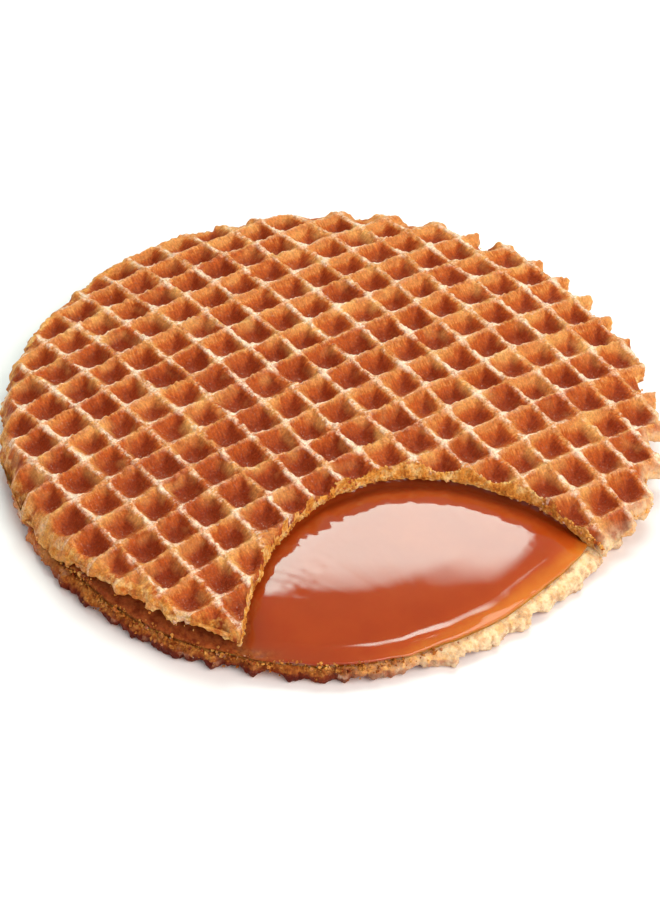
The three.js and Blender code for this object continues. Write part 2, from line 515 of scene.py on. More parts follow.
bakedColours = {
    "ridge": (0.66, 0.235, 0.060),
    "shoulder": (0.60, 0.178, 0.033),
    "wall": (0.50, 0.098, 0.014),
    "pocket": (0.29, 0.037, 0.006),
    "pale": (0.82, 0.42, 0.125),
    # painted highlight on the ridges and painted glints in the pockets
    "ridgeHighlight": (1.0, 0.72, 0.54),
    "crumbDark": (0.58, 0.17, 0.022),
    "crumb": (0.82, 0.36, 0.065),
    "crumbPale": (1.0, 0.67, 0.28),
    "browningAndShade": (0.34, 0.17, 0.10),  # multiplies what is under it
    "paleAndPaintedLight": (1.0, 0.80, 0.50),
}
bakedNoises = {
    # scale, detail and roughness
    "fibre": (1.0, 3, 0.6),
    "patches": (0.16, 3, 0.55),
    "mottle": (0.9, 4, 0.62),
    "grain": (3.2, 3, 0.6),
    "crystals": (4.4, 2, 0.6),
    "spots": (0.24, 2, 0.5),
    "drifts": (0.35, 2, 0.55),
    "pores": (2.6, 4, 0.7),
    "blotch": (0.6, 3, 0.6),
}
bakedLook = {
    "fibreAcross": 3.6,
    "fibreDown": 0.9,
    "shadedWall": 0.46,  # painted shade on one wall of each pocket, darker than the next
    "litWallFront": -0.08,  # and painted light on another, weaker at the front left and stronger at the back right
    "litWallBack": -0.24,
    "fibreSwing": 0.55,
    "mottleSwing": 0.35,
    "patchSwing": 0.7,
    "cellSwing": 0.16,
    "paintedLightBack": -0.13,
    "highlightFrom": 1.38,
    "highlightFull": 1.68,
    "glintSpecks": 0.45,
}
bakedShader = {
    "Coat Roughness": 0.2,
    "Specular IOR Level": 0.12,
    "Subsurface Weight": 0.2,
    "Subsurface Radius": (1.0, 0.42, 0.16),
    "Subsurface Scale": 0.0006,
}


def waferFinish(name, colours, part):
    material, tree, shader = newMaterial(name, bakedShader)
    look = bakedLook
    half, depth = part["pitch"] / 2, part["depth"]
    place = placeOf(tree)
    u, v, down = split(tree, markOf(tree, "gridPlace", "Vector"))
    crumb = markOf(tree, "crumb")
    patches, mottle, grain, crystals, spots, drifts, pores, blotch = [
        noiseOf(tree, place, *bakedNoises[key])
        for key in ("patches", "mottle", "grain", "crystals", "spots", "drifts", "pores", "blotch")]

    # fibres that run down the pocket walls
    signedU = sums(tree, "WRAP", u, half, -half)
    signedV = sums(tree, "WRAP", v, half, -half)
    wrapU = sums(tree, "ABSOLUTE", signedU)
    wrapV = sums(tree, "ABSOLUTE", signedV)
    facesU = sums(tree, "GREATER_THAN", wrapU, wrapV)
    alongWall = node(tree, "Mix", {"data_type": "FLOAT"}, i0=facesU, i2=u, i3=v).outputs[0]
    streaks = joined(tree, times(tree, alongWall, look["fibreAcross"]),
                     times(tree, down, look["fibreDown"]), facesU)
    fibre = noiseOf(tree, streaks, *bakedNoises["fibre"])

    # colour goes from pale ridge to dark pocket, with painted shade on one wall and painted light on another
    shadedWall = sums(tree, "SUBTRACT", swung(tree, signedU, mottle, 1.2), wrapV)
    shadedWall = remap(tree, shadedWall, -0.35, 0.55, 0.0, look["shadedWall"])
    right, back = split(tree, place)[:2]
    back = remap(tree, added(tree, right, 0.4, back), -12, 32)
    litWall = sums(tree, "SUBTRACT", swung(tree, signedV, mottle, 1.2), wrapU)
    litStrength = remap(tree, back, 0.0, 1.0, look["litWallFront"], look["litWallBack"])
    litWall = remap(tree, litWall, -0.5, 0.5, 0.0, litStrength)
    onWall = remap(tree, down, 0.15 * depth, 0.4 * depth)
    level = sums(tree, "DIVIDE", down, depth)
    level = added(tree, sums(tree, "ADD", shadedWall, litWall), onWall, level)
    level = swung(tree, level, fibre, look["fibreSwing"])
    level = swung(tree, level, mottle, look["mottleSwing"])
    level = swung(tree, level, patches, look["patchSwing"])
    level = added(tree, markOf(tree, "tone"), look["cellSwing"], level)
    # painted light: paler towards the back right
    level = added(tree, back, look["paintedLightBack"], level)
    baked = rampOf(tree, level, colours, {"ridge": 0.0, "shoulder": 0.05, "wall": 0.2, "pocket": 0.85})

    # lightly baked spots high on the walls
    spots = remap(tree, spots, 0.5, 0.7, 0.0, part["paleSpots"])
    high = remap(tree, down, 0.2 * depth, 0.75 * depth, 1.0, 0.0)
    baked = mixOf(tree, times(tree, spots, high), baked, colours["pale"])

    # painted highlight on the ridge tops, thickest on the wide ridges, and painted glints as loose grains
    # everywhere
    toCorner = sums(tree, "ADD", signedU, signedV)
    nearCorner = remap(tree, toCorner, -1.4, -4.2)
    onRidge = remap(tree, added(tree, nearCorner, -0.9, down), 0.05, 0.4, 1.0, 0.0)
    onWide = remap(tree, wrapU, 1.6, 2.2, 0.15, 0.95)
    ridgeHighlight = times(tree, onRidge, sums(tree, "MAXIMUM", onWide, nearCorner))
    flecks = added(tree, mottle, 0.5, times(tree, fibre, 0.7))
    for noise, weight in ((drifts, 1.3), (nearCorner, 0.08), (grain, 0.5)):
        flecks = added(tree, noise, weight, flecks)
    flecks = remap(tree, flecks, look["highlightFrom"], look["highlightFull"], 0.0, 0.95)
    glintSpecks = times(tree, remap(tree, crystals, 0.56, 0.76, 0.0, look["glintSpecks"]),
                   remap(tree, toCorner, 1.0, -2.0, 0.1, 1.0))
    highlighted = sums(tree, "MAXIMUM", times(tree, ridgeHighlight, flecks), glintSpecks)
    baked = mixOf(tree, highlighted, baked, colours["ridgeHighlight"])

    # open crumb where the wafer is broken
    spongy = added(tree, blotch, 0.65, times(tree, pores, 0.35))
    inside = rampOf(tree, spongy, colours, {"crumbDark": 0.38, "crumb": 0.49, "crumbPale": 0.62})
    ragged = swung(tree, crumb, mottle, 0.9)
    colour = mixOf(tree, remap(tree, ragged, 0.35, 0.65), baked, inside)
    speckle = times(tree, remap(tree, grain, 0.33, 0.68, 0.8, 1.18),
                    remap(tree, fibre, 0.3, 0.7, 1.13, 0.87))
    colour = mixOf(tree, 1.0, colour, joined(tree, speckle, speckle, speckle), "MULTIPLY")

    # darker where browned and soaked, and where shade is painted; paler where thin, and where light is
    # painted
    browningAndShade = times(tree, markOf(tree, "brownedAndShaded"), remap(tree, mottle, 0.3, 0.6, 1.25, 0.55))
    colour = mixOf(tree, 1.0, colour, mixOf(tree, browningAndShade, (1, 1, 1), colours["browningAndShade"]), "MULTIPLY")
    paleAndLitShare = times(tree, markOf(tree, "paleAndPaintedLight"), remap(tree, mottle, 0.4, 0.62, 1.0, 0.38))
    colour = mixOf(tree, paleAndLitShare, colour, colours["paleAndPaintedLight"])
    tree.links.new(colour, shader.inputs["Base Color"])

    # relief too fine for the mesh
    relief = added(tree, fibre, 0.45, times(tree, grain, 0.6))
    relief = added(tree, pores, times(tree, crumb, 0.9), relief)
    relief = added(tree, crystals, times(tree, onRidge, 0.7), relief)
    reliefOf(tree, shader, relief)
    tree.links.new(remap(tree, grain, 0.3, 0.7, 0.42, 0.62), shader.inputs["Roughness"])
    # buttery gloss on the ridges and sugar grains that glint
    glints = remap(tree, crystals, 0.62, 0.68, 0.0, 0.7)
    gloss = sums(tree, "MAXIMUM", glints, times(tree, onRidge, 0.3))
    gloss = times(tree, gloss, remap(tree, crumb, 0.3, 0.5, 1.0, 0.2))
    tree.links.new(gloss, shader.inputs["Coat Weight"])
    return material


syrupColours = {
    "thin": (0.62, 0.17, 0.016),
    "middle": (0.455, 0.064, 0.006),
    "thickAndShade": (0.375, 0.045, 0.004),
    "shaded": (0.30, 0.046, 0.010),  # painted shade along the torn wafer
    "crustDark": (0.18, 0.030, 0.008),
    "crustPale": (0.42, 0.11, 0.030),
}
syrupShader = {
    "Coat IOR": 1.6,
    "Coat Roughness": 0.07,
    "Specular IOR Level": 0.03,
    "Subsurface Weight": 0.55,
    "Subsurface Radius": (1.0, 0.3, 0.08),
    "Subsurface Scale": 0.0024,
}


def syrupFinish():
    material, tree, shader = newMaterial("caramelSyrup", syrupShader)
    place = placeOf(tree)
    clouds = noiseOf(tree, place, 0.14, 4, 0.6)
    level = swung(tree, markOf(tree, "thickAndShade"), clouds, 0.4)
    colour = rampOf(tree, level, syrupColours, {"thin": 0.0, "middle": 0.28, "thickAndShade": 0.55, "shaded": 0.95})
    # dull and crumby in the gap between the wafers
    bare = markOf(tree, "bare")
    dust = noiseOf(tree, place, 1.1, 4, 0.65)
    crust = rampOf(tree, dust, syrupColours, {"crustDark": 0.35, "crustPale": 0.68})
    tree.links.new(mixOf(tree, bare, crust, colour), shader.inputs["Base Color"])
    ripple = times(tree, noiseOf(tree, place, 0.5, 2, 0.4), 0.12)
    lumps = times(tree, dust, sums(tree, "SUBTRACT", 1.0, bare))
    reliefOf(tree, shader, sums(tree, "ADD", ripple, lumps))
    tree.links.new(remap(tree, bare, 0.0, 1.0, 0.7, 0.3), shader.inputs["Roughness"])
    tree.links.new(bare, shader.inputs["Coat Weight"])
    return material


view = {
    "lens": 140,
    "elevation": 41.78,  # degrees above the table
    "roll": 2.43,
    "tilt": 0.93,  # aims a little below the middle of the biscuit
    "distance": 467.93,
    "target": (-0.15, -0.05, 9.6),
}


def makeCamera():
    rise = math.radians(view["elevation"])
    roll = Matrix.Rotation(math.radians(view["roll"]), 4, "Z")
    tilt = Matrix.Rotation(-math.radians(view["tilt"]), 4, "X")
    turn = Matrix.Rotation(math.pi / 2 - rise, 4, "X") @ roll @ tilt
    back = Vector((0, -math.cos(rise), math.sin(rise)))
    spot = (Vector(view["target"]) + back * view["distance"]) * mm
    data = bpy.data.cameras.new("camera")
    data.lens = view["lens"]
    data.sensor_width = 36
    data.clip_start = 0.01
    camera = newObject("camera", data)
    camera.matrix_world = Matrix.Translation(spot) @ turn
    bpy.context.scene.camera = camera


lights = {
    # direction round the object from straight behind, height in degrees, distance, size, power, colour
    "windowBehind": (2.8, 55.0, 0.75, (0.66, 0.355), 5.8, (0.77, 1.0, 0.92)),
    "fillRight": (125, 42, 0.8, (0.8, 0.7), 5.9, (1.0, 0.92, 0.84)),
    "fillLeft": (-120, 40, 0.8, (0.6, 0.6), 1.2, (1.0, 0.95, 0.86)),
}
studio = {
    "windowFade": 0.35,  # the window dims over this share of its height, towards the top
    "windowSides": 0.1,  # and over this share of its width at either side
    "sky": (1, 0.97, 0.94),
    "skyPower": 0.30,
    "floor": (0.97, 0.93, 0.95),
    "floorSide": 6.0,  # metres
    "floorFront": -6.0,
    "floorLength": 9.0,
    "floorRows": 40,
    "bendFrom": 1.2,  # far behind it rises gently
    "bend": 0.25,
}


def dimWindow(data):
    data.use_nodes = True
    tree = data.node_tree
    spread = node(tree, "NewGeometry").outputs["Parametric"]
    across, up = split(tree, spread)[:2]
    toSide = sums(tree, "MINIMUM", across, sums(tree, "SUBTRACT", 1.0, across))
    bright = times(tree, remap(tree, up, 1.0, 1.0 - studio["windowFade"]),
                   remap(tree, toSide, 0.0, studio["windowSides"]))
    tree.links.new(bright, tree.nodes["Emission"].inputs["Strength"])


def makeLights():
    for name, (azimuth, height, distance, size, power, colour) in lights.items():
        data = bpy.data.lights.new(name, "AREA")
        data.shape = "RECTANGLE"
        data.size, data.size_y = size
        data.energy = power
        data.color = colour
        if name == "windowBehind":
            dimWindow(data)
        lamp = newObject(name, data)
        a, h = math.radians(azimuth), math.radians(height)
        place = Vector((math.sin(a) * math.cos(h), math.cos(a) * math.cos(h), math.sin(h))) * distance
        lamp.location = place
        lamp.rotation_euler = place.to_track_quat("Z", "Y").to_euler()
    world = bpy.data.worlds.new("studio")
    world.use_nodes = True
    sky = world.node_tree.nodes["Background"]
    sky.inputs["Color"].default_value = (*studio["sky"], 1)
    sky.inputs["Strength"].default_value = studio["skyPower"]
    bpy.context.scene.world = world
    bpy.context.scene.view_settings.view_transform = "Standard"


def makeFloor():
    rows, side = studio["floorRows"], studio["floorSide"]
    verts = []
    for k in range(rows + 1):
        y = studio["floorFront"] + studio["floorLength"] * k / rows
        z = studio["bend"] * max(0, y - studio["bendFrom"]) ** 2 - 0.0001
        verts += [(-side, y, z), (side, y, z)]
    faces = [(a, a + 1, a + 3, a + 2) for a in range(0, 2 * rows, 2)]
    mesh = bpy.data.meshes.new("floor")
    mesh.from_pydata(verts, [], faces)
    floor = newObject("floor", mesh)
    mesh.materials.append(newMaterial("paperWhite", {
        "Base Color": (*studio["floor"], 1), "Roughness": 0.9, "Specular IOR Level": 0.1})[0])


makeCamera()
makeLights()
makeFloor()
print("camera, lights and floor are in place")


upperWafer = {
    "seed": 100,
    "middle": (0.0, 0.4),
    "radius": 43.6,
    "oval": 0.4,
    "ovalAngle": -26,
    "thickness": 2.3,
    "pitch": 5.0,
    "gridAngle": 38,
    "gridShift": (-1.26, 1.22),  # along and across the rows, from the middle
    "sway": 0.3,
    "ridgeAcross": 0.17,  # half widths of the two sets of ridges
    "ridgeAlong": 0.06,
    "sagAcross": 0.18,
    "sagAlong": 0.15,
    "shoulder": 0.11,
    "slope": 1.8,
    "depth": 2.1,
    "cornerFill": 0.12,
    "cornerRound": 0.55,
    "ribOut": 0.5,
    "torn": 0.5,
    "toothed": 1.0,  # how much further the ridges stand out at the back and the right
    "flare": 0.4,
    "wornDepth": 2.5,  # where the rim is broken back beside the bite
    "wornSide": (-34, 0.0, 0.25),
    "closedSide": (-165, 0.9, 1.5),  # here the rim closes its pockets
    "halfClosedSide": (105, 0.5, 0.9),
    "sharpSide": (38, 0.6, 1.1),
    "thinSide": (-128, 0.35, 0.6),
    "lipThin": 0.8,
    "droop": 3.0,  # at the left the rim hangs down onto the wafer below
    "droopWidth": 1.5,
    "droopSide": (-163, 0.25, 0.6),
    "tip": (36.0, -21.3),  # right end of the bite, where the wafer sags onto the one below
    "tipSag": 1.7,
    "tipReach": 8.0,
    "crumbSlope": 0.8,  # width of the broken slope along the bite
    "lowestTop": 2.3,
    "lowestUnder": 2.05,
    "paleSpots": 0.75,
    "paleSide": (-14, 0.15, 0.5),
    "goldenBack": (105, 0.6, 1.1),
    "goldenLeft": (-160, 0.5, 1.0),
    "rimStep": 0.2,  # spacing of the mesh
    "biteStep": 0.16,
    "bands": (0, 0.14, 0.3, 0.5, 0.74),
    "bandStep": 0.2,
    "pocketMarks": (0.21, 0.63, 1.05, 1.45),
}


def rimDroop(x, y):
    part = upperWafer
    inward = fromRim(part, x, y) / part["droopWidth"]
    sag = part["tipSag"] * fade(distanceTo(part["tip"], x, y), 0.0, part["tipReach"])
    drooping = facing(angleAt(part, x, y), part["droopSide"])
    return part["droop"] * drooping * np.clip(1 - inward, 0, 1) ** 1.3 + sag


def crumbSlopeWidth(x):
    # the broken slope is widest at the back of the bite
    side = np.abs(x - bite["middle"][0]) / bite["radius"]
    return upperWafer["crumbSlope"] * (1 - 0.8 * ease(side, 0.2, 0.7))


def upperTop(x, y):
    part = upperWafer
    u, v = toGrid(part, x, y)
    depth, tone = pocketDepth(part, u, v)
    angle = angleAt(part, x, y)
    rough = roughOf(x, y, 61, (0.75, 0.3), (0.33, 0.2))
    toBite = fromBite(x, y)
    toRim = fromRim(part, x, y)
    # crumb swells up into the pockets along the bite and round the rim
    lip = facing(angle, part["closedSide"])
    closed = np.maximum(lip, 0.6 * facing(angle, part["halfClosedSide"]))
    swollen = 1 - 0.25 * fade(toBite + rough, 0.2, 1.4)
    swollen = swollen - (0.1 + 0.6 * closed) * fade(toRim + rough, 0.3, 2.2)
    base = ridgeHeight(x, y) - rimDroop(x, y)
    height = base - depth * swollen + roughOf(x, y, 63, (0.8, 0.05), (0.36, 0.03))
    # the slope of torn crumb down to the syrup
    under = base - part["thickness"]
    slopeWidth = crumbSlopeWidth(x)
    slope = np.clip((toBite + rough * 0.9 * slopeWidth) / slopeWidth, 0, 3)
    broken = under + 0.4 + part["thickness"] * slope ** 0.85 + 0.12 * hills(x, y, 0.3, 65)
    height = softMin(height, broken, 0.25)
    edge = np.clip(1 - (toRim + 0.4 * rough) / 0.9, 0, 1)
    rounded = 0.45 - 0.3 * facing(angle, part["sharpSide"])
    height = height - rounded * edge ** 2 + 0.12 * edge * hills(x, y, 0.4, 66)
    height = np.maximum(height, np.maximum(under + 0.2, part["lowestTop"]))
    crumb = np.maximum(fade(toBite + rough, 0.35 * slopeWidth, 1.15 * slopeWidth),
                       0.5 * fade(toRim + rough, 0.4 * lip, 0.6 + 1.4 * lip))
    down = base - height + 0.35 * lip * fade(toRim + rough, 0.6, 2.2)
    return height, u, v, down, crumb, tone


def makeUpperWafer():
    part = upperWafer
    loop = bittenLoop(part)
    points = gridPoints(part)
    points = points[(fromRim(part, *points.T) > 0.16) & (fromBite(*points.T) > 2.35)]
    points = np.concatenate([points, slopePoints(part)])
    hidden = slantedPoints(44.2, 1.7, 0.01, 0.013)
    hidden = hidden[(fromRim(part, *hidden.T) > 0.5) & (fromBite(*hidden.T) > 0.5)]

    def topHeight(x, y):
        return upperTop(x, y)[0]

    def underHeight(x, y):
        toRim = fromRim(part, x, y)
        ragged = roughOf(x, y, 71, (0.55, 0.26), (1.6, 0.16)) - 0.2
        low = ridgeHeight(x, y) - rimDroop(x, y) - part["thickness"]
        low = low + ragged * fade(np.minimum(toRim, fromBite(x, y)), 0.0, 0.4)
        thin = facing(angleAt(part, x, y), part["thinSide"])
        low = low + part["lipThin"] * thin * fade(toRim, 0.0, 2.6)
        return np.maximum(low, part["lowestUnder"])

    def bulge(share, run, height):
        return 0.06 * math.sin(math.pi * share) + roughOf(run, height, 73, (0.6, 0.22), (0.3, 0.14))

    verts, tris = closedShell(loop, points, topHeight, hidden, underHeight, 5, bulge)
    x, y, z = verts.T
    u, v, down, crumb, tone = upperTop(x, y)[1:]
    toBite, toRim, angle = fromBite(x, y), fromRim(part, x, y), angleAt(part, x, y)
    topVerts = len(loop) + len(points)
    down[topVerts:] = 0.5
    crumb[topVerts:] = np.maximum(crumb[topVerts:], 0.45 + 0.5 * fade(toBite, 0.3, 1.2)[topVerts:])
    # the drooping side is browner, and the crumb at the bite's right end is soaked with syrup
    drooping = fade(z, 3.2, 5.0) * (x < 0)
    soaked = ease(x - bite["middle"][0], 6.0, 14.0) * fade(toBite, 0.2, 1.8)
    brownedAndShaded = np.clip(0.1 * drooping + 0.4 * soaked, 0, 1)
    # pale and thin round the tip, golden along the rim at the back and the left
    tipPale = 0.8 * fade(distanceTo(part["tip"], x, y), 1.5, 8.0) * fade(toRim, 0.2, 2.4)
    sidePale = 0.6 * facing(angle, part["paleSide"]) * fade(toRim, 0.1, 1.4)
    backRim = facing(angle, part["goldenBack"]) * fade(toRim, 0.5, 4.0)
    leftRim = facing(angle, part["goldenLeft"]) * fade(toRim, 0.5, 3.5)
    tone = tone - np.maximum(2.2 * backRim, 1.5 * leftRim)
    piece = makePiece("upperWafer", verts, tris, crumb[tris].mean(axis=1) <= 0.6, {
        "gridPlace": np.stack([u, v, down], axis=1), "crumb": crumb, "tone": tone,
        "brownedAndShaded": brownedAndShaded, "paleAndPaintedLight": np.maximum(tipPale, sidePale)
    }, waferFinish("bakedWafer", bakedColours, part))
    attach(piece, "root")
    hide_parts("upper_wafer")
    print("upper wafer:", len(tris), "faces")


makeUpperWafer()


caramel = {
    "middle": (-0.75, -1.4),
    "radius": 41.3,
    "lobeDepth": 0.95,
    "lobeCount": 2,
    "lobeAngle": -100,
    "bottom": 2.15,
    "below": 2.5,  # under the ridge tops of the wafer above
    "swell": 0.48,
    "bead": 0.3,  # the rounded front edge where it bulges out
    "climb": 1.3,  # up the torn edge at the right end of the bite
    "dip": 1.23,  # along the torn edge of the wafer above
    "dipWidth": 5.1,
    "edgeFall": 1.5,  # towards the syrup's own edge
    "edgeWidth": 10.8,
    "edgeRound": 2.6,
    "edgePower": 2.2,
    "rollHeight": 0.20,  # low roll along the front edge
    "rollInset": 1.7,
    "rollWidth": 0.72,
    "rollAngle": -69,
    "rollSpan": 20,
    "pullBack": 1.2,  # at the right it leaves more of the lower wafer bare
    "pulledSide": (-42, 0.2, 0.8),
    "thinSide": (-38, 0.5, 1.0),
    "leftTip": (-10.0, -40.3),  # left end of the bite, where it is dull
    "rimStep": 0.4,  # spacing of the mesh
    "rings": (0.05, 0.15, 0.3, 0.5, 0.73, 0.96, 1.2, 1.44, 1.68, 1.92, 2.16, 2.4, 2.62),
    "fineStep": 0.34,
    "coarseStep": 1.6,
}


def syrupEdge(angle):
    lobes = np.cos(caramel["lobeCount"] * (angle - math.radians(caramel["lobeAngle"])))
    wander = roughAlong(angle * caramel["radius"], 81, (7.5, 0.3), (2.4, 0.16))
    pulled = caramel["pullBack"] * facing(angle, caramel["pulledSide"])
    return caramel["radius"] + caramel["lobeDepth"] * lobes + wander - pulled


def syrupInside(x, y):
    return syrupEdge(angleAt(caramel, x, y)) - distanceTo(caramel["middle"], x, y)


def syrupRoll(angle, inside, toRight):
    # the roll wanders in and out and swells and shrinks along its way
    run = angle * caramel["radius"]
    inset = caramel["rollInset"] + 0.2 * roughAlong(run, 87, (4.3, 1.0)) - 0.6 * toRight
    roll = np.exp(-((inside - inset) / caramel["rollWidth"]) ** 2)
    away = np.degrees(turnBetween(angle, caramel["rollAngle"])) / caramel["rollSpan"]
    swells = 1 + roughAlong(run, 88, (2.9, 0.4))
    return caramel["rollHeight"] * roll * swells * np.clip(1 - away, 0, 1) ** 0.5


def syrupTop(x, y):
    angle = angleAt(caramel, x, y)
    inside = syrupInside(x, y)
    toBite = fromBite(x, y)
    toRight = ease(np.degrees(angle), -72, -48)
    bare = np.clip(1 - (1 + toBite / bite["radius"]) ** 2, 0, 1)
    high = ridgeHeight(x, y) - caramel["below"] + caramel["swell"] * bare
    dip = caramel["dip"] * (1 - 0.55 * ease(bite["middle"][0] - x, 12.0, 24.0))
    high = high - dip * np.clip(1 + toBite / caramel["dipWidth"], 0, 1) ** 2 * ease(-toBite, -2.0, -0.2)
    high = high + caramel["bead"] * fade(inside, 1.0, 9.0) * ease(-toBite, 0.0, 6.0)
    side = (x - bite["middle"][0]) / bite["radius"]
    climbing = ease(toBite, -2.4, -0.1) ** 1.5 * fade(toBite, 0.0, 0.4)
    high = high + caramel["climb"] * ease(side, 0.45, 0.85) * climbing
    high = high + 0.15 * ease(toBite, 0.2, 2.0)  # meets the wafer above it
    high = high + roughOf(x, y, 83, (8.5, 0.05), (2.3, 0.006)) + syrupRoll(angle, inside, toRight)
    # small ripples break up the reflection of the torn edge
    high = high + 0.02 * hills(x, y, 0.85, 86) * ease(toBite, -8.5, -6.0) * fade(toBite, -4.0, -2.0)
    fall = np.clip(inside / caramel["edgeRound"], 0, 1)
    edgeFall = caramel["edgeFall"] * (1 - 0.35 * toRight)
    high = high - edgeFall * np.clip(1 - inside / caramel["edgeWidth"], 0, 1) ** 2 * fall ** 0.5
    middle = caramel["bottom"] + 0.25 * (high - caramel["bottom"])
    power = caramel["edgePower"]
    return middle + (high - middle) * (1 - (1 - fall) ** power) ** (1 / power)


def makeCaramel():
    part = caramel
    angle = roundAngles(part["radius"], part["rimStep"])
    loop = ringOf(part, angle, syrupEdge(angle))
    rings = [ringOf(part, angle, syrupEdge(angle) - inset) for inset in part["rings"]]
    fine = slantedPoints(44.0, part["fineStep"], 0.02, 0.017)
    fine = fine[(syrupInside(*fine.T) > 2.8) & (fromBite(*fine.T) < 1.5)]
    coarse = slantedPoints(44.0, part["coarseStep"], 0.02, 0.017)
    under = coarse[syrupInside(*coarse.T) > 1.0]
    coarse = coarse[(syrupInside(*coarse.T) > 2.9) & (fromBite(*coarse.T) > 1.9)]

    def underHeight(x, y):
        return part["bottom"] + 0 * x

    def bulge(share, run, height):
        return -0.45 * share ** 2 + 0.05 * hills(run, height, 1.2, 85)

    top = np.concatenate(rings + [fine, coarse])
    verts, tris = closedShell(loop, top, syrupTop, under, underHeight, 4, bulge)
    x, y = verts[:, 0], verts[:, 1]
    inside, toBite = syrupInside(x, y), fromBite(x, y)
    # thin and golden where it runs out over the wafer at the right, darker near its edge elsewhere, with
    # painted shade along the torn edge
    thinEnd = facing(angleAt(part, x, y), part["thinSide"])
    thickAndShade = 0.5 - (0.5 * thinEnd - 0.25 * (1 - thinEnd)) * fade(inside, -0.2, 4.0)
    rightEnd = ease(x - bite["middle"][0], 6.0, 18.0)
    leftEnd = ease(bite["middle"][0] - x, 6.0, 20.0)
    thickAndShade = thickAndShade + (0.45 - 0.4 * rightEnd - 0.3 * leftEnd) * ease(toBite, -5.0, -0.5)
    # dull under the wafer above, and beside its left tip
    corner = fade(distanceTo(part["leftTip"], x, y), 2.5, 7.0)
    bare = fade(toBite, 1.4 - 2.6 * corner, 2.4 - 2.2 * corner)
    bare = bare * (1 - corner * fade(inside, 0.8, 2.0))
    piece = makePiece("caramelLayer", verts, tris, np.ones(len(tris), bool),
                      {"thickAndShade": thickAndShade, "bare": bare}, syrupFinish())
    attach(piece, "root")
    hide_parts("caramel")
    print("caramel:", len(tris), "faces")


makeCaramel()


# its crumb is browner
underColours = dict(bakedColours, crumbDark=(0.34, 0.070, 0.009), crumb=(0.65, 0.22, 0.034),
                    crumbPale=(0.95, 0.46, 0.115))
lowerWafer = {
    "seed": 300,
    "middle": (-0.75, -1.4),
    "radius": 42.6,
    "oval": 0.4,
    "ovalAngle": 50,
    "thickness": 2.0,
    "pitch": 5.0,
    "gridAngle": -24,
    "gridShift": (-2.38, -0.92),
    "sway": 0.2,
    "ridgeAcross": 0.36,
    "ridgeAlong": 0.36,
    "sagAcross": 0.1,
    "sagAlong": 0.1,
    "shoulder": 0.22,
    "slope": 1.7,
    "depth": 1.25,
    "cornerFill": 0.0,
    "cornerRound": 0.0,
    "ribOut": 0.2,
    "torn": 0.7,
    "toothed": 0.0,
    "flare": -0.5,  # it draws back under the drooping rim
    "wornDepth": 1.0,
    "wornSide": (-42, 0.0, 0.4),
    "paleSpots": 0.6,
    "paleSide": (-35, 0.35, 0.95),
    "litSide": (-35, 0.5, 1.1),  # painted shade grows away from this lit side
    "backSide": (85, 0.9, 1.5),
    "skirtSide": (-172, 0.3, 0.65),  # under the drooping rim, where its wall is golden
    "rimStep": 0.22,
    "bands": (0, 0.25, 0.5, 0.75),
    "bandStep": 0.36,
    "pocketMarks": (0.25, 0.7, 1.1, 1.5),
    "ringStep": 0.2433,
    "rings": (0.22, 0.45, 0.7, 1.0, 1.3, 1.7, 2.1),
}


